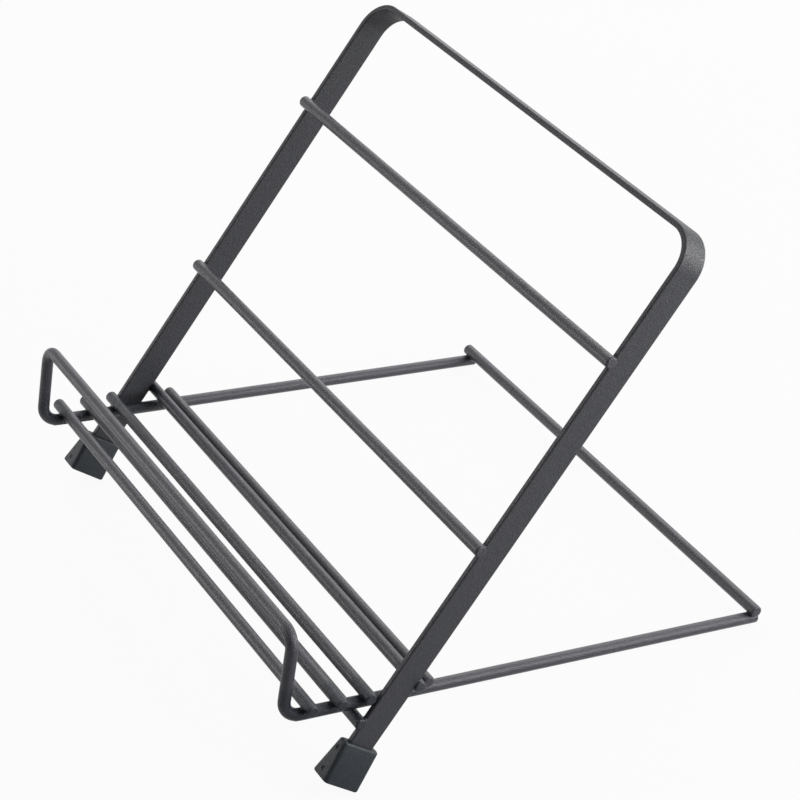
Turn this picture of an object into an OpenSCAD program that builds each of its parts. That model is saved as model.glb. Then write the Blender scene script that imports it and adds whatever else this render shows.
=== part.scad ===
// Folding book stand of flat steel bar and welded steel wire.
// Two welded bodies cross each other. The back frame is a flat bar bent to an
// upturned U, with two crossbars, two catch rods and a plastic foot on each leg.
// The base is one bent wire with a lip, a ledge of three wires and two more
// cross wires. It runs between the legs, over the front catch rod and under
// the rear one, and no pin holds it.
// Millimetres, +Z up, X across the stand, the reader's side at -Y.

/* [Stock] */
// Diameter of every round wire, over its coat
wire_d = 5.2; // [4.5:0.1:5.5]
// Width of the flat bar, seen from the side of the stand
bar_w = 12.6; // [11:0.1:14]
// Thickness of the flat bar
bar_t = 2.6; // [2:0.1:3]
// Rounding of the flat bar's long edges
bar_round = 0.5; // [0.3:0.1:0.7]
// Rounding of the sawn wire ends
end_round = 0.9; // [0.3:0.1:1.2]
// Depth that a welded wire sinks into the edge of the flat bar
edge_sink = 1.2; // [0.5:0.1:1.5]
// Depth that a welded cross wire sinks into a side wire
wire_sink = 0.7; // [0.3:0.1:1]

/* [Back frame] */
// Width over both legs
frame_w = 250; // [200:1:300]
// Length of the legs above the crossing with the base
frame_top = 220; // [195:1:260]
// Outer radius of the two upper corners
corner_r = 15; // [12:0.5:24]
// Height of the lower crossbar above the crossing
lower_crossbar_at = 73; // [65:1:90]
// Height of the upper crossbar above the crossing
upper_crossbar_at = 162; // [120:1:175]
// Distance that crossbars and catch rods stand out past each leg
crossbar_over = 1.2; // [0:0.1:2]

/* [Feet] */
// Distance from the crossing down to the sole of a foot
foot_sole_at = 37.8; // [34:0.2:45]
// Height of a foot along its leg
foot_h = 18; // [14:0.5:20]
// Depth of a foot from front to back
foot_d = 19.2; // [17:0.2:21]
// Thickness of a foot at its mouth
foot_top_t = 5.4; // [4.8:0.1:6]
// Thickness of a foot at its sole
foot_sole_t = 10.8; // [8:0.1:11.4]
// Rounding of the upright edges of a foot
foot_edge_r = 2; // [1.2:0.1:2.2]
// Rounding of the rims at the sole and the mouth
foot_round = 0.9; // [0.6:0.1:1.1]
// Thickness of plastic under the end of the bar
foot_floor = 2.4; // [1.5:0.1:4]
// Diameter of the two dimples in the front of a foot
dimple_d = 1.5; // [1:0.1:2]
// Depth of a dimple
dimple_depth = 0.6; // [0.4:0.1:1]
// Distance of each dimple from the sole or the mouth
dimple_in = 3.8; // [3:0.1:5]

/* [Base] */
// Angle between the ledge and the back frame when open
open_angle = 120; // [115:1:125]
// Distance from the crossing back to the tail wire
tail_at = 183.8; // [160:0.2:220]
// Length of the side wires past the tail wire
tail_over = 2.7; // [1:0.1:4]
// Distance from the crossing back to the stop wire
stop_at = 19.8; // [19:0.2:24]
// Distance between the wires of the ledge
ledge_pitch = 13; // [10:0.5:14]
// Distance from the front ledge wire to the lip
lip_step = 10.2; // [9:0.1:14]
// Height of the lip above the side wires
lip_h = 38; // [25:0.1:41]
// Bend radius between the side wires and the lip, on the wire's centre line
lower_bend_r = 8; // [5:0.5:10]
// Bend radius at the two ends of the lip, on the wire's centre line
upper_bend_r = 7; // [4:0.5:10]
// Distance that the ledge wires stand out past the side wires
ledge_over = 3.9; // [3:0.1:6]
// Distance that the stop and tail wires stand out past the side wires
tail_wire_over = 0.7; // [0:0.1:1]

/* [Running gaps] */
// Gap between each side wire and the leg beside it
side_gap = 1.75; // [1:0.05:2.5]
// Gap between the side wires and the front catch rod under them
front_rod_gap = 0.36; // [0.3:0.02:0.6]
// Gap between the side wires and the rear catch rod over them
rear_rod_gap = 1.66; // [1:0.02:2]
// Gap between the rear ledge wire and the front edges of the legs
leg_gap = 0.32; // [0.3:0.02:0.6]

/* [Hidden] */
$fn = 48;

coat = [0.23, 0.24, 0.25];
foot_plastic = [0.19, 0.21, 0.22];

wire_r = wire_d / 2;
half_w = frame_w / 2;
side_x = half_w - bar_t - side_gap - wire_r;

// Heights over the centre line of the side wires and of the legs
cross_n = wire_d - wire_sink;
edge_n = bar_w / 2 + wire_r - edge_sink;

// The base meets the legs this far below square, so the catch rods can be
// placed by their distance square to the side wires.
tilt = open_angle - 90;
function along_leg(off_wire, n) = (off_wire - n * sin(tilt)) / cos(tilt);
front_rod_at = along_leg(-(wire_d + front_rod_gap), edge_n);
rear_rod_at = along_leg(wire_d + rear_rod_gap, -edge_n);

// The rear ledge wire stops against the front edges of the legs
rear_ledge_at = (bar_w / 2 + wire_r + leg_gap - cross_n * sin(tilt)) / cos(tilt);
middle_ledge_at = rear_ledge_at + ledge_pitch;
front_ledge_at = middle_ledge_at + ledge_pitch;
lip_at = front_ledge_at + lip_step;

// The stand rests on the rounded rear edges of the soles and on the rounded lower
// rims of the tail ends. The slope of the base is the one angle at which both
// lie on the table, from the centres of their rounding.
sole_n = -(foot_d / 2 - foot_round);
sole_u = -(foot_sole_at - foot_round);
leg_to_base = 90 - tilt;
tail_run = tail_at + tail_over - end_round;
rise = tail_run + sole_n * sin(leg_to_base) - sole_u * cos(leg_to_base);
drop = wire_r - end_round + sole_n * cos(leg_to_base) + sole_u * sin(leg_to_base);
base_slope = asin((foot_round - end_round) / norm([rise, drop])) - atan2(drop, rise);
frame_slope = leg_to_base - base_slope;

// Place of the crossing: the table at Z 0, and the stand centred from front to back
bend_at = lip_at - lower_bend_r;
front_reach = bend_at * cos(base_slope) - lower_bend_r * sin(base_slope) + lower_bend_r + wire_r;
rear_reach = tail_at * cos(base_slope) + cross_n * sin(base_slope) + wire_r;
crossing = [
    0,
    (front_reach - rear_reach) / 2,
    foot_round - sole_n * cos(frame_slope) - sole_u * sin(frame_slope),
];

// In the base: Y runs back along the side wires and Z stands square to the ledge
module in_base() {
    translate(crossing) rotate([-base_slope, 0, 0]) children();
}

// In the back frame: Z runs up the legs and Y points out of the back
module in_frame() {
    translate(crossing) rotate([frame_slope - 90, 0, 0]) children();
}

// Sweeps a profile up +Z through runs and square bends, as a bending machine feeds
// it. Each step is [straight run, turn of the stock before the bend, radius of the
// bend on the centre line], and bends go towards +X. The last step is a run alone.
module bent(steps, i = 0) {
    run = steps[i][0];
    linear_extrude(run) children();
    if (i < len(steps) - 1) {
        radius = steps[i][2];
        translate([0, 0, run]) rotate(steps[i][1]) translate([radius, 0, 0]) {
            rotate([90, 0, 180]) rotate_extrude(angle = 90) translate([radius, 0]) children();
            rotate([0, 90, 0]) translate([-radius, 0, 0]) bent(steps, i + 1) children();
        }
    }
}

// Section of the flat bar: thickness along X, width along Y, long edges rounded
module bar_section() {
    square([bar_t, bar_w - 2 * bar_round], center = true);
    square([bar_t - 2 * bar_round, bar_w], center = true);
    for (x = [-1, 1], y = [-1, 1])
        translate([x * (bar_t / 2 - bar_round), y * (bar_w / 2 - bar_round)]) circle(bar_round);
}

// Last stretch of a wire, along +Z, with the rim of its sawn end rounded over
module wire_end() {
    rotate_extrude() {
        square([wire_r - end_round, end_round]);
        translate([wire_r - end_round, 0]) intersection() {
            circle(end_round);
            square(end_round);
        }
    }
}

// Straight wire along X, centred
module cross_wire(length) {
    run = length - 2 * end_round;
    rotate([0, 90, 0]) {
        cylinder(h = run, r = wire_r, center = true);
        for (end = [0, 1]) mirror([0, 0, end]) translate([0, 0, run / 2]) wire_end();
    }
}

// Bore that a welded wire leaves in what it is pressed into
module weld_seat() {
    rotate([0, 90, 0]) cylinder(h = frame_w + 40, r = wire_r, center = true);
}

// Places of the cross wires in the base and in the back frame: [along, square]
base_wires = [front_ledge_at, middle_ledge_at, rear_ledge_at, -stop_at, -tail_at];
front_edge_wires = [upper_crossbar_at, lower_crossbar_at, front_rod_at];

module on_side_wires(at) {
    in_base() translate([0, -at, cross_n]) children();
}

module on_front_edges(at) {
    in_frame() translate([0, -edge_n, at]) children();
}

module on_rear_edges(at) {
    in_frame() translate([0, edge_n, at]) children();
}

module back_frame() {
    leg_end = foot_floor - foot_sole_at;
    leg_run = frame_top - corner_r - leg_end;
    bend = corner_r - bar_t / 2;
    color(coat) difference() {
        in_frame() translate([bar_t / 2 - half_w, 0, leg_end])
            bent([[leg_run, 0, bend], [frame_w - 2 * corner_r, 0, bend], [leg_run]])
            bar_section();
        for (at = front_edge_wires) on_front_edges(at) weld_seat();
        on_rear_edges(rear_rod_at) weld_seat();
    }
}

module crossbar() {
    color(coat) cross_wire(frame_w + 2 * crossbar_over);
}

module upper_crossbar() {
    on_front_edges(upper_crossbar_at) crossbar();
}

module lower_crossbar() {
    on_front_edges(lower_crossbar_at) crossbar();
}

module front_catch_rod() {
    on_front_edges(front_rod_at) crossbar();
}

module rear_catch_rod() {
    on_rear_edges(rear_rod_at) crossbar();
}

// Corner of a foot at the sole or the mouth: a disc with a rounded rim
module foot_corner() {
    rotate_extrude($fn = 32) {
        translate([0, -foot_round]) square([foot_edge_r - foot_round, 2 * foot_round]);
        translate([foot_edge_r - foot_round, 0]) intersection() {
            circle(foot_round);
            translate([0, -foot_round]) square([foot_round, 2 * foot_round]);
        }
    }
}

// Moulded cap, thicker at the sole, with a socket for the end of the bar and two
// dimples down its narrow front. Z 0 is the sole.
module foot(side) {
    corner_y = foot_d / 2 - foot_edge_r;
    color(foot_plastic) in_frame()
        translate([side * (half_w - bar_t / 2), 0, -foot_sole_at]) difference() {
            hull() for (x = [-1, 1], y = [-1, 1]) {
                translate([x * (foot_sole_t / 2 - foot_edge_r), y * corner_y, foot_round])
                    foot_corner();
                translate([x * (foot_top_t / 2 - foot_edge_r), y * corner_y, foot_h - foot_round])
                    foot_corner();
            }
            translate([0, 0, foot_floor]) linear_extrude(foot_h) bar_section();
            for (z = [dimple_in, foot_h - dimple_in])
                translate([0, -foot_d / 2, z]) rotate([90, 0, 0])
                    cylinder(h = 2 * dimple_depth, d = dimple_d, center = true, $fn = 24);
        }
}

module left_foot() {
    foot(-1);
}

module right_foot() {
    foot(1);
}

module base_wire() {
    side_run = tail_run + bend_at;
    post_run = lip_h - lower_bend_r - upper_bend_r;
    color(coat) difference() {
        in_base() {
            translate([-side_x, tail_run, 0]) rotate([90, 0, 0])
                bent([[side_run, 90, lower_bend_r],
                      [post_run, -90, upper_bend_r],
                      [2 * (side_x - upper_bend_r), 0, upper_bend_r],
                      [post_run, 90, lower_bend_r],
                      [side_run]])
                circle(wire_r);
            for (side = [-1, 1])
                translate([side * side_x, tail_run, 0]) rotate([-90, 0, 0]) wire_end();
        }
        for (at = base_wires) on_side_wires(at) weld_seat();
    }
}

module ledge_wire() {
    color(coat) cross_wire(2 * (side_x + wire_r + ledge_over));
}

module front_ledge_wire() {
    on_side_wires(front_ledge_at) ledge_wire();
}

module middle_ledge_wire() {
    on_side_wires(middle_ledge_at) ledge_wire();
}

module rear_ledge_wire() {
    on_side_wires(rear_ledge_at) ledge_wire();
}

module short_wire() {
    color(coat) cross_wire(2 * (side_x + wire_r + tail_wire_over));
}

module stop_wire() {
    on_side_wires(-stop_at) short_wire();
}

module tail_wire() {
    on_side_wires(-tail_at) short_wire();
}

back_frame();
upper_crossbar();
lower_crossbar();
front_catch_rod();
rear_catch_rod();
left_foot();
right_foot();
base_wire();
front_ledge_wire();
middle_ledge_wire();
rear_ledge_wire();
stop_wire();
tail_wire();
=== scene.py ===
from math import radians

import bpy
from mathutils import Matrix, Vector


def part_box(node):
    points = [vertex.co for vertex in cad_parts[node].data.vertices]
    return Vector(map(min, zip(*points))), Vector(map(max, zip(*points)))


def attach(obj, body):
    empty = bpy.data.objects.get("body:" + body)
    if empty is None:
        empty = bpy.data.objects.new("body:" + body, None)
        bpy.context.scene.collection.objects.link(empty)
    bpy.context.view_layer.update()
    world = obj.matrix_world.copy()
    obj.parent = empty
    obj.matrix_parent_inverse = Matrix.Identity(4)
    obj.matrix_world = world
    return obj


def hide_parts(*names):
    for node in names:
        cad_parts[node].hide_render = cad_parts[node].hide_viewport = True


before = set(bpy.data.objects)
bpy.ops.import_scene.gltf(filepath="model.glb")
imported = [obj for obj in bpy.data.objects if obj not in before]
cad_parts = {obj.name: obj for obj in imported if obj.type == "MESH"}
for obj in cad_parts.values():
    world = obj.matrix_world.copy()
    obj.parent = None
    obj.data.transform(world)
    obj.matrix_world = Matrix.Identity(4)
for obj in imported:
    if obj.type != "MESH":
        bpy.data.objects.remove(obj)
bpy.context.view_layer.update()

# ---------------------------------------------------------------- camera
# A long lens in front of the stand, to the right and above, as in the photograph. The
# focal length is in pixels of the photograph's frame.
camera_place = Vector((0.8235, -0.4508, 0.7088))
camera_turn = radians(60.98)
camera_dip = radians(33.64)
camera_roll = radians(-0.66)
focal_pixels = 2636.7
frame_pixels = 800
sensor_mm = 36

camera_data = bpy.data.cameras.new("stand_camera")
camera_data.sensor_width = sensor_mm
camera_data.lens = focal_pixels / frame_pixels * sensor_mm
camera = bpy.data.objects.new("stand_camera", camera_data)
camera.matrix_world = (
    Matrix.Translation(camera_place)
    @ Matrix.Rotation(camera_turn, 4, "Z")
    @ Matrix.Rotation(radians(90) - camera_dip, 4, "X")
    @ Matrix.Rotation(camera_roll, 4, "Z")
)
bpy.context.scene.collection.objects.link(camera)
bpy.context.scene.camera = camera
bpy.context.scene.view_settings.view_transform = "Standard"

# ---------------------------------------------------------------- light and floor
# A small white studio: a pale sweep under and behind the stand, three soft boxes round
# the back, a weak one at the front left, and a dim front right, where the camera stands.
# The room's strength is given as the camera sees it, then as its light behind and in front.
white = (1, 1, 1, 1)
room_seen = 0.95
room_bright = 0.85
room_dim = 0.15
bright_side = (-0.5, 0.87, 0)
dim_from, white_from = -0.75, 0.45
soft_boxes = {
    "left_box": {"place": (-0.82, 0.85, 0.85), "size": 1.2, "power": 10.0},
    "back_box": {"place": (0.52, 1.12, 0.26), "size": 0.6, "power": 10.0},
    "right_box": {"place": (1.12, 0.70, 0.64), "size": 0.9, "power": 11.5},
    "front_box": {"place": (-0.66, -0.78, 0.30), "size": 0.5, "power": 3.4},
}
floor_half = 9.0
floor_white = 0.50
floor_own_light = 0.93
floor_dim_from, floor_white_from = -0.25, 0.08


def sum_of(tree, operation, *operands):
    """A Math node whose operands are sockets or numbers."""
    node = tree.nodes.new("ShaderNodeMath")
    node.operation = operation
    for slot, operand in enumerate(operands):
        if isinstance(operand, (int, float)):
            node.inputs[slot].default_value = operand
        else:
            tree.links.new(operand, node.inputs[slot])
    return node.outputs[0]


def how_far_back(tree, place, dim_from, white_from):
    """0 to the front right of the stand, rising smoothly to 1 at its back left."""
    facing = tree.nodes.new("ShaderNodeVectorMath")
    facing.operation = "DOT_PRODUCT"
    facing.inputs[1].default_value = bright_side
    tree.links.new(place, facing.inputs[0])
    rise = tree.nodes.new("ShaderNodeMapRange")
    rise.interpolation_type = "SMOOTHSTEP"
    rise.inputs["From Min"].default_value = dim_from
    rise.inputs["From Max"].default_value = white_from
    tree.links.new(facing.outputs["Value"], rise.inputs["Value"])
    return rise.outputs["Result"]


def white_share(tree, to_back):
    """How white a backdrop is: 1 for the camera, and in mirrors as far as it lies back."""
    path = tree.nodes.new("ShaderNodeLightPath")
    mirrored = sum_of(
        tree, "MAXIMUM", path.outputs["Is Glossy Ray"], path.outputs["Is Transmission Ray"])
    in_mirrors = sum_of(tree, "MULTIPLY", mirrored, to_back)
    return sum_of(tree, "MAXIMUM", path.outputs["Is Camera Ray"], in_mirrors)


room = bpy.data.worlds.new("white_studio")
room.use_nodes = True
tree = room.node_tree
tree.nodes.clear()
toward = tree.nodes.new("ShaderNodeTexCoord")
to_back = how_far_back(tree, toward.outputs["Generated"], dim_from, white_from)
share = white_share(tree, to_back)
level = tree.nodes.new("ShaderNodeMapRange")
level.inputs["To Min"].default_value = room_dim
level.inputs["To Max"].default_value = room_bright
tree.links.new(to_back, level.inputs["Value"])
room_light = tree.nodes.new("ShaderNodeBackground")
room_light.inputs["Color"].default_value = white
tree.links.new(level.outputs["Result"], room_light.inputs["Strength"])
room_white = tree.nodes.new("ShaderNodeBackground")
room_white.inputs["Color"].default_value = white
room_white.inputs["Strength"].default_value = room_seen
room_mix = tree.nodes.new("ShaderNodeMixShader")
room_out = tree.nodes.new("ShaderNodeOutputWorld")
tree.links.new(share, room_mix.inputs[0])
tree.links.new(room_light.outputs[0], room_mix.inputs[1])
tree.links.new(room_white.outputs[0], room_mix.inputs[2])
tree.links.new(room_mix.outputs[0], room_out.inputs["Surface"])
bpy.context.scene.world = room

for name, box in soft_boxes.items():
    lamp_data = bpy.data.lights.new(name, "AREA")
    lamp_data.shape = "DISK"
    lamp_data.size = box["size"]
    lamp_data.energy = box["power"]
    lamp = bpy.data.objects.new(name, lamp_data)
    lamp.visible_camera = False
    place = Vector(box["place"])
    aim = (-place).to_track_quat("-Z", "Y").to_matrix().to_4x4()
    lamp.matrix_world = Matrix.Translation(place) @ aim
    bpy.context.scene.collection.objects.link(lamp)

bpy.ops.object.select_all(action="DESELECT")
bpy.ops.mesh.primitive_plane_add(size=2 * floor_half)
floor = bpy.context.object
floor.name = "floor"

floor_finish = bpy.data.materials.new("pale_floor")
floor_finish.use_nodes = True
tree = floor_finish.node_tree
tree.nodes.clear()
matt = tree.nodes.new("ShaderNodeBsdfDiffuse")
matt.inputs["Color"].default_value = (floor_white, floor_white, floor_white, 1)
glow = tree.nodes.new("ShaderNodeEmission")
glow.inputs["Color"].default_value = white
spot = tree.nodes.new("ShaderNodeTexCoord")
to_back = how_far_back(tree, spot.outputs["Object"], floor_dim_from, floor_white_from)
share = white_share(tree, to_back)
mix = tree.nodes.new("ShaderNodeMixShader")
out = tree.nodes.new("ShaderNodeOutputMaterial")
tree.links.new(sum_of(tree, "MULTIPLY", share, floor_own_light), mix.inputs[0])
tree.links.new(matt.outputs[0], mix.inputs[1])
tree.links.new(glow.outputs[0], mix.inputs[2])
tree.links.new(mix.outputs[0], out.inputs["Surface"])
floor.data.materials.append(floor_finish)

# ---------------------------------------------------------------- back frame
# Flat steel bar, bent to an upturned U and sprayed with charcoal powder coat together
# with the rest of its body. The coat has a fine sandy grain over a softer wave.
mm = 0.001
grain_roughness = 0.55
grain_low, grain_high = 0.3, 0.7


def number_group(name, inputs, outputs):
    """A shader node group with named number inputs and outputs."""
    group = bpy.data.node_groups.new(name, "ShaderNodeTree")
    for socket, value in inputs.items():
        made = group.interface.new_socket(socket, in_out="INPUT", socket_type="NodeSocketFloat")
        made.default_value = value
    for socket in outputs:
        group.interface.new_socket(socket, in_out="OUTPUT", socket_type="NodeSocketFloat")
    return group, group.nodes.new("NodeGroupInput"), group.nodes.new("NodeGroupOutput")


# Grain of a sprayed or moulded surface: a height for the bump, and a mottle
grain, given, result = number_group(
    "surface_grain",
    {"Grain per metre": 3000, "Wave per metre": 700, "Grain share": 0.5},
    ("Height", "Mottle"),
)
place = grain.nodes.new("ShaderNodeTexCoord")
layers = []
for scale_socket, detail in (("Grain per metre", 2), ("Wave per metre", 1)):
    noise = grain.nodes.new("ShaderNodeTexNoise")
    noise.inputs["Detail"].default_value = detail
    noise.inputs["Roughness"].default_value = grain_roughness
    grain.links.new(place.outputs["Object"], noise.inputs["Vector"])
    grain.links.new(given.outputs[scale_socket], noise.inputs["Scale"])
    layers.append(noise.outputs["Fac"])
fine_part = sum_of(grain, "MULTIPLY", layers[0], given.outputs["Grain share"])
wave_share = sum_of(grain, "SUBTRACT", 1, given.outputs["Grain share"])
height = sum_of(grain, "MULTIPLY_ADD", layers[1], wave_share, fine_part)
grain.links.new(height, result.inputs["Height"])
grain.links.new(layers[1], result.inputs["Mottle"])


def grained_finish(name, dark, light, smooth, rough, bump, shine, sizes, pooled_and_shaded=None):
    """A sprayed or moulded finish over the shared grain.

    Given the pooled mask, it has a clear skin. Inside the mask it is smoother and skinless, and
    its colour is darkened as painted shade.
    """
    finish = bpy.data.materials.new(name)
    finish.use_nodes = True
    tree = finish.node_tree
    shader = tree.nodes["Principled BSDF"]
    shader.inputs["Specular IOR Level"].default_value = shine
    surface = tree.nodes.new("ShaderNodeGroup")
    surface.node_tree = grain
    for socket, value in sizes.items():
        surface.inputs[socket].default_value = value
    colour = tree.nodes.new("ShaderNodeMix")
    colour.data_type = "RGBA"
    colour.inputs["A"].default_value = (*dark, 1)
    colour.inputs["B"].default_value = (*light, 1)
    tree.links.new(surface.outputs["Mottle"], colour.inputs["Factor"])
    shown = colour.outputs["Result"]
    if pooled_and_shaded:
        # Mask of the crowded ledge corners: it makes the coat smoother there and darkens its
        # colour as painted shade
        pool_and_shade_node = tree.nodes.new("ShaderNodeGroup")
        pool_and_shade_node.node_tree = pooled_and_shaded["where"]
        # Painted shade: the base colour is mixed towards a near-black blue inside the mask
        deep = tree.nodes.new("ShaderNodeMix")
        deep.data_type = "RGBA"
        deep.inputs["B"].default_value = (*pooled_and_shaded["colour"], 1)
        tree.links.new(pool_and_shade_node.outputs["Pooled and shaded"], deep.inputs["Factor"])
        tree.links.new(shown, deep.inputs["A"])
        shown = deep.outputs["Result"]
    tree.links.new(shown, shader.inputs["Base Color"])
    polish = tree.nodes.new("ShaderNodeMapRange")
    polish.inputs["From Min"].default_value = grain_low
    polish.inputs["From Max"].default_value = grain_high
    polish.inputs["To Min"].default_value = smooth
    polish.inputs["To Max"].default_value = rough
    tree.links.new(surface.outputs["Height"], polish.inputs["Value"])
    gloss = polish.outputs["Result"]
    if pooled_and_shaded:
        full, skin = pool_and_shade_node.outputs["Pooled and shaded"], pooled_and_shaded["skin"]
        gloss = sum_of(tree, "MULTIPLY_ADD", full, -pooled_and_shaded["smoother"], gloss)
        skin_left = sum_of(tree, "MULTIPLY_ADD", full, -skin, skin)
        tree.links.new(skin_left, shader.inputs["Coat Weight"])
        shader.inputs["Coat Roughness"].default_value = pooled_and_shaded["skin_rough"]
    tree.links.new(gloss, shader.inputs["Roughness"])
    relief = tree.nodes.new("ShaderNodeBump")
    relief.inputs["Strength"].default_value = 1
    relief.inputs["Distance"].default_value = bump
    tree.links.new(surface.outputs["Height"], relief.inputs["Height"])
    tree.links.new(relief.outputs["Normal"], shader.inputs["Normal"])
    return finish


bar_coat = grained_finish(
    "powder_coat_on_bar",
    dark=(0.0205, 0.021, 0.026),
    light=(0.0355, 0.0365, 0.0435),
    smooth=0.34,
    rough=0.54,
    bump=0.35 * mm,
    shine=0.4,
    sizes={"Grain per metre": 2600, "Wave per metre": 900, "Grain share": 0.55},
)


def middle(node_name):
    """Centre of a node's box: on a cross wire it lies on the wire's axis."""
    low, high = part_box(node_name)
    return (Vector(low) + Vector(high)) / 2


def lie_along(up, origin):
    """Turns local X across the stand and local Z along up, and moves to origin."""
    back = up.cross(across)
    turn = Matrix((across, back, up)).transposed().to_4x4()
    return Matrix.Translation(origin) @ turn


def finish_piece(piece, name, body, material):
    """Names a piece, gives it its finish and sets it on its body."""
    piece.name = name
    piece.data.name = name
    piece.data.materials.clear()
    piece.data.materials.append(material)
    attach(piece, body)


across = Vector((1, 0, 0))
quarter = radians(90)
bar_thick = 2.6 * mm
bar_deep = 12.6 * mm
bar_edge_round = 1.2 * mm
bar_edge_crown = 0.7
bar_sink = 1.2 * mm
wire_r = 2.6 * mm
leg_x = 123.7 * mm
corner_bend = 13.7 * mm
bend_steps = 16
bar_sharp_from = radians(30)

# The top bar and the end of a leg, measured along the leg from the upper crossbar
top_above = 58 * mm
leg_end_below = 197.4 * mm
leg_up = (middle("upper_crossbar") - middle("lower_crossbar")).normalized()
leg_back = leg_up.cross(across)
at_crossbar = middle("upper_crossbar") + leg_back * (bar_deep / 2 + wire_r - bar_sink)

# Cross-section of the bar with its crowned rolled edges, at the end of the left leg
bpy.ops.object.select_all(action="DESELECT")
bpy.ops.mesh.primitive_plane_add(size=1)
bar = bpy.context.object
bar.scale = (bar_thick, bar_deep, 1)
bar.location = (-leg_x, 0, -leg_end_below)
bpy.ops.object.transform_apply(location=True, rotation=True, scale=True)
bpy.ops.object.mode_set(mode="EDIT")
bpy.ops.mesh.select_all(action="SELECT")
bpy.ops.mesh.bevel(offset=bar_edge_round, segments=10, profile=bar_edge_crown, affect="VERTICES")

# Up the left leg, across the top and down the right leg
bend_height = top_above - bar_thick / 2 - corner_bend
for run, bend_x in (((0, 0, bend_height + leg_end_below), corner_bend - leg_x),
                    ((2 * (leg_x - corner_bend), 0, 0), leg_x - corner_bend),
                    ((0, 0, -bend_height - leg_end_below), None)):
    bpy.ops.mesh.extrude_region_move(TRANSFORM_OT_translate={"value": run})
    if bend_x is not None:
        bpy.ops.mesh.spin(
            steps=bend_steps, angle=quarter, center=(bend_x, 0, bend_height), axis=(0, -1, 0))
bpy.ops.mesh.select_all(action="SELECT")
bpy.ops.mesh.remove_doubles(threshold=0.001 * mm)
bpy.ops.mesh.normals_make_consistent(inside=False)
bpy.ops.object.mode_set(mode="OBJECT")
bpy.ops.object.shade_smooth_by_angle(angle=bar_sharp_from)
bar.data.transform(lie_along(leg_up, at_crossbar))
finish_piece(bar, "back_frame_bar", "frame", bar_coat)
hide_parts("back_frame")

# ---------------------------------------------------------------- crossbars and catch rods
# Four 5 mm wires, cut square with the rim rounded, pressed into the edges of the flat
# bar and welded there by current. A little flash is squeezed out round each weld and
# lies under the coat.
rods = ("upper_crossbar", "lower_crossbar", "front_catch_rod", "rear_catch_rod")
sides = (("left", -1), ("right", 1))
weld_under = 0.07 * mm
weld_grid = 0.22 * mm
weld_smoothing = 14
stub_r = wire_r - weld_under

# The coat pools, smoother and skinless, where the ledge wires crowd together on the side
# wires, and its colour there is darkened as painted shade. Each pair says where that starts
# and where it is full.
pool_and_shade_outward = (108 * mm, 114 * mm)
pool_and_shade_forward = (-46 * mm, -62 * mm)
pool_and_shade_downward = (60 * mm, 52 * mm)
pool_and_shade_group, _, result = number_group("pooled_and_shaded_coat", {}, ("Pooled and shaded",))
place = pool_and_shade_group.nodes.new("ShaderNodeTexCoord")
spot = pool_and_shade_group.nodes.new("ShaderNodeSeparateXYZ")
pool_and_shade_group.links.new(place.outputs["Object"], spot.inputs[0])
outward = sum_of(pool_and_shade_group, "ABSOLUTE", spot.outputs["X"])
pooled_and_shaded = None
for source, (start, full) in ((outward, pool_and_shade_outward),
                              (spot.outputs["Y"], pool_and_shade_forward),
                              (spot.outputs["Z"], pool_and_shade_downward)):
    fade = pool_and_shade_group.nodes.new("ShaderNodeMapRange")
    fade.interpolation_type = "SMOOTHSTEP"
    fade.inputs["From Min"].default_value = start
    fade.inputs["From Max"].default_value = full
    pool_and_shade_group.links.new(source, fade.inputs["Value"])
    within = fade.outputs["Result"]
    pooled_and_shaded = within if pooled_and_shaded is None else sum_of(pool_and_shade_group, "MULTIPLY", pooled_and_shaded, within)
pool_and_shade_group.links.new(pooled_and_shaded, result.inputs["Pooled and shaded"])
# The colour is painted shade laid over the crowded corners; the other values make the coat
# smoother and skinless there
pooled_and_shaded_coat = {"where": pool_and_shade_group, "colour": (0.008, 0.011, 0.019), "smoother": 0.16,
               "skin": 0.28, "skin_rough": 0.34}

wire_coat = grained_finish(
    "powder_coat_on_wire",
    dark=(0.013, 0.013, 0.021),
    light=(0.025, 0.025, 0.038),
    smooth=0.24,
    rough=0.44,
    bump=0.46 * mm,
    shine=0.46,
    sizes={"Grain per metre": 2800, "Wave per metre": 900, "Grain share": 0.68},
    pooled_and_shaded=pooled_and_shaded_coat,
)

# In the corners of a weld the coat runs together and is smoother, and its darker colour there is
# painted shade
weld_coat_painted_shade = grained_finish(
    "powder_coat_in_weld_painted_shade",
    # painted shade: darker than the coat on the wires
    dark=(0.007, 0.009, 0.015),
    light=(0.026, 0.028, 0.038),
    smooth=0.18,
    rough=0.46,
    bump=0.6 * mm,
    shine=0.6,
    sizes={"Grain per metre": 1900, "Wave per metre": 700, "Grain share": 0.6},
)


def coat(node_name, finish):
    """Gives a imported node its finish."""
    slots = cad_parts[node_name].data.materials
    slots.clear()
    slots.append(finish)


for rod in rods:
    coat(rod, wire_coat)


def stub(radius, length, middle_at, turn):
    """A short round length of wire."""
    bpy.ops.mesh.primitive_cylinder_add(
        vertices=40, radius=radius, depth=length, location=middle_at, rotation=turn)
    return bpy.context.object


def fuse_weld(stubs):
    """Fuses the stubs, then smooths them so that metal stays only in the corners."""
    bpy.ops.object.select_all(action="DESELECT")
    for part in stubs:
        part.select_set(True)
    weld = stubs[0]
    bpy.context.view_layer.objects.active = weld
    bpy.ops.object.join()
    bpy.ops.object.transform_apply(location=True, rotation=True, scale=True)
    fused = weld.modifiers.new("fused", "REMESH")
    fused.mode = "VOXEL"
    fused.voxel_size = weld_grid
    bpy.ops.object.modifier_apply(modifier="fused")
    flow = weld.modifiers.new("flow", "SMOOTH")
    flow.factor = 0.5
    flow.iterations = weld_smoothing
    bpy.ops.object.modifier_apply(modifier="flow")
    bpy.ops.object.shade_smooth()
    return weld


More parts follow.
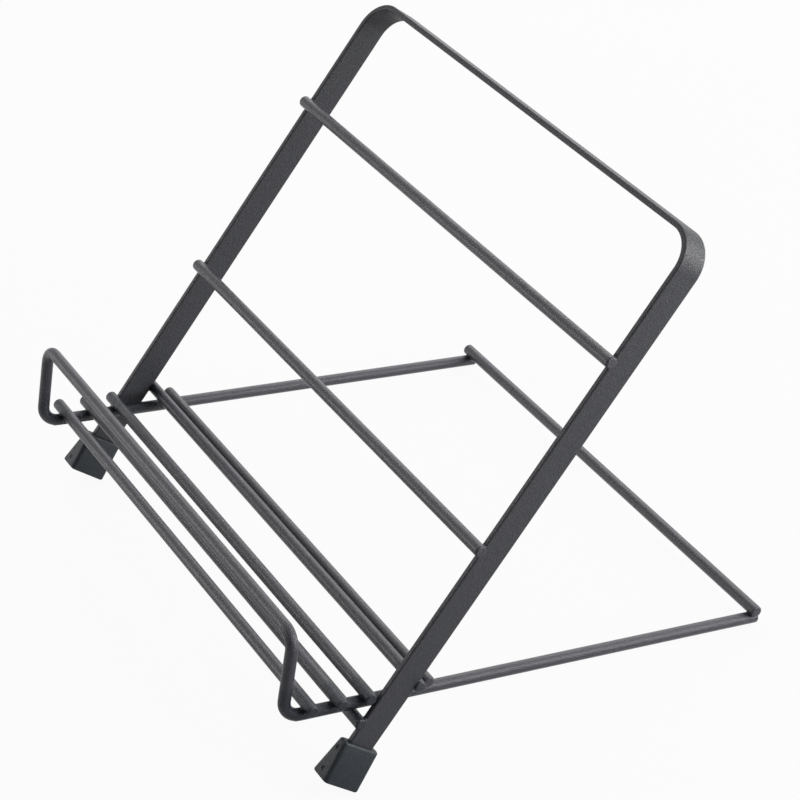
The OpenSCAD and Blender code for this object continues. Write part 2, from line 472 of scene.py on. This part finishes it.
def weld_copies(weld, places, body):
    """Sets copies of one weld at (name, matrix) places, mirrored ones on the left."""
    for name, place in places:
        piece = weld.copy()
        piece.data = weld.data.copy()
        bpy.context.scene.collection.objects.link(piece)
        piece.data.transform(place)
        if place.to_3x3().determinant() < 0:
            piece.data.flip_normals()
        finish_piece(piece, name, body, weld_coat_painted_shade)
    bpy.data.objects.remove(weld)


edge_at = wire_r - bar_sink + weld_under
edge_deep = 5 * mm
edge_long = 11 * mm
rod_stub_long = 6.2 * mm
rod_stub_in = 1.3 * mm

rod_stub = stub(stub_r, rod_stub_long, (-rod_stub_in, 0, 0), (0, quarter, 0))
bpy.ops.mesh.primitive_cube_add(size=1, location=(0, edge_at + edge_deep / 2, 0))
edge_stub = bpy.context.object
edge_stub.scale = (bar_thick - 2 * weld_under, edge_deep, edge_long)
edge_weld = fuse_weld([rod_stub, edge_stub])

# The rear catch rod lies on the rear edges, so its welds face the other way
frame_places = []
for rod in rods:
    for side, x_sign in sides:
        at = middle(rod) + x_sign * leg_x * across
        facing = Matrix.Diagonal((x_sign, -1 if rod == "rear_catch_rod" else 1, 1, 1))
        frame_places.append((f"{rod}_{side}_weld", lie_along(leg_up, at) @ facing))
weld_copies(edge_weld, frame_places, "frame")

# ---------------------------------------------------------------- feet
# Push-on caps of dark grey moulded plastic, one on each leg. They widen to the sole,
# their upright edges and rims are rounded, the bar stands in a close socket, and two
# shallow dimples mark the narrow front.
sole_thick = 10.8 * mm
mouth_thick = 5.4 * mm
foot_deep = 19.2 * mm
foot_tall = 18 * mm
upright_round = 2 * mm
rim_round = 0.9 * mm
socket_gap = 0.22 * mm
socket_deep = 3 * mm
dimple_radius = 1.8 * mm
dimple_sink = 0.4 * mm
dimple_in = 3.8 * mm
sole_rim = 1.1 * mm
sole_sunk = 0.5 * mm
near_rim = 0.1 * mm
cap_sharp_from = radians(32)
# Measured along the leg from the upper crossbar
sole_below = 199.8 * mm

foot_plastic = grained_finish(
    "moulded_foot",
    dark=(0.009, 0.013, 0.018),
    light=(0.013, 0.018, 0.024),
    smooth=0.40,
    rough=0.54,
    bump=0.22 * mm,
    shine=0.38,
    sizes={"Grain per metre": 4200, "Wave per metre": 500, "Grain share": 0.6},
)


def pick(piece, mode, wanted):
    """In edit mode, selects the faces or edges that wanted() accepts."""
    bpy.ops.object.mode_set(mode="OBJECT")
    mesh = piece.data
    for group in (mesh.vertices, mesh.edges, mesh.polygons):
        for item in group:
            item.select = False
    if mode == "FACE":
        for face in mesh.polygons:
            face.select = wanted(face.center, face.normal)
    else:
        for edge in mesh.edges:
            start, end = (mesh.vertices[i].co for i in edge.vertices)
            edge.select = wanted((start + end) / 2, (end - start).normalized())
    bpy.ops.object.mode_set(mode="EDIT")
    bpy.ops.mesh.select_mode(type=mode)


bpy.ops.object.select_all(action="DESELECT")
bpy.ops.mesh.primitive_cube_add(size=1, location=(0, 0, foot_tall / 2))
cap = bpy.context.object
cap.scale = (sole_thick, foot_deep, foot_tall)
bpy.ops.object.transform_apply(location=True, rotation=True, scale=True)

# The mouth is thinner than the sole
pick(cap, "FACE", lambda centre, normal: normal.z > 0.9)
bpy.ops.transform.resize(value=(mouth_thick / sole_thick, 1, 1), center_override=(0, 0, foot_tall))

# Upright edges, then the rims at the sole and the mouth
pick(cap, "EDGE", lambda centre, run: abs(run.z) > 0.8)
bpy.ops.mesh.bevel(offset=upright_round, segments=6, profile=0.5)
pick(cap, "EDGE", lambda centre, run: abs(run.z) < 0.05 and (
    centre.z < near_rim or centre.z > foot_tall - near_rim))
bpy.ops.mesh.bevel(offset=rim_round, segments=4, profile=0.5)

# The socket round the end of the bar
pick(cap, "FACE", lambda centre, normal: normal.z > 0.999)
bpy.ops.mesh.extrude_region_move()
bpy.ops.transform.resize(
    value=((bar_thick + 2 * socket_gap) / (mouth_thick - 2 * rim_round),
           (bar_deep + 2 * socket_gap) / (foot_deep - 2 * rim_round), 1),
    center_override=(0, 0, foot_tall))
bpy.ops.mesh.extrude_region_move(TRANSFORM_OT_translate={"value": (0, 0, -socket_deep)})

# A sole that is sunk a little inside its rim, as on moulded caps
pick(cap, "FACE", lambda centre, normal: normal.z < -0.999)
bpy.ops.mesh.inset(thickness=sole_rim)
bpy.ops.mesh.extrude_region_move(TRANSFORM_OT_translate={"value": (0, 0, sole_sunk)})
bpy.ops.object.mode_set(mode="OBJECT")

# Two dimples down the front
for height in (dimple_in, foot_tall - dimple_in):
    bpy.ops.mesh.primitive_uv_sphere_add(
        segments=24, ring_count=16, radius=dimple_radius,
        location=(0, -foot_deep / 2 - dimple_radius + dimple_sink, height))
    cutter = bpy.context.object
    hollow = cap.modifiers.new("dimple", "BOOLEAN")
    hollow.operation = "DIFFERENCE"
    hollow.object = cutter
    bpy.context.view_layer.objects.active = cap
    bpy.ops.object.modifier_apply(modifier="dimple")
    bpy.data.objects.remove(cutter)

bpy.ops.object.select_all(action="DESELECT")
cap.select_set(True)
bpy.context.view_layer.objects.active = cap
bpy.ops.object.shade_smooth_by_angle(angle=cap_sharp_from)

for side, x_sign in sides:
    foot = cap.copy()
    foot.data = cap.data.copy()
    bpy.context.scene.collection.objects.link(foot)
    foot_at = at_crossbar - leg_up * sole_below + x_sign * leg_x * across
    foot.data.transform(lie_along(leg_up, foot_at))
    finish_piece(foot, f"{side}_foot_cap", "frame", foot_plastic)
    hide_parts(f"{side}_foot")
bpy.data.objects.remove(cap)

# ---------------------------------------------------------------- base
# One 5 mm wire runs up both sides, the posts and the lip. Five cross wires are pressed
# into its side wires and welded by current: three for the ledge, the stop wire behind
# the legs, and the tail wire.
cross_sink = 0.7 * mm
side_x = 118.05 * mm
ledge_out = 3.9 * mm
short_out = 0.7 * mm
tail_out = 2.7 * mm
stub_inside = 5 * mm
runs_on = 5 * mm
short_of_end = 0.35 * mm
ledge_wires = ("front_ledge_wire", "middle_ledge_wire", "rear_ledge_wire")

for wire in ("base_wire", *ledge_wires, "stop_wire", "tail_wire"):
    coat(wire, wire_coat)

run_back = (middle("tail_wire") - middle("front_ledge_wire")).normalized()
ledge_up = across.cross(run_back)
axes_apart = 2 * wire_r - cross_sink


def crossing_weld(out, behind):
    """Weld of a cross wire that stands out past a side wire, which runs on behind it."""
    past = wire_r + out - short_of_end
    over_at = ((past - stub_inside) / 2, 0, 0)
    over = stub(stub_r, stub_inside + past, over_at, (0, quarter, 0))
    under_at = (0, (behind - stub_inside) / 2, -axes_apart)
    under = stub(stub_r, stub_inside + behind, under_at, (quarter, 0, 0))
    return fuse_weld([over, under])


for wires, out, behind in ((ledge_wires, ledge_out, runs_on),
                           (("stop_wire",), short_out, runs_on),
                           (("tail_wire",), short_out, tail_out - short_of_end)):
    weld = crossing_weld(out, behind)
    base_places = []
    for wire in wires:
        for side, x_sign in sides:
            at = middle(wire) + x_sign * side_x * across
            facing = Matrix.Diagonal((x_sign, 1, 1, 1))
            base_places.append((f"{wire}_{side}_weld", lie_along(ledge_up, at) @ facing))
    weld_copies(weld, base_places, "base")

# ---------------------------------------------------------------- end
bpy.context.view_layer.update()
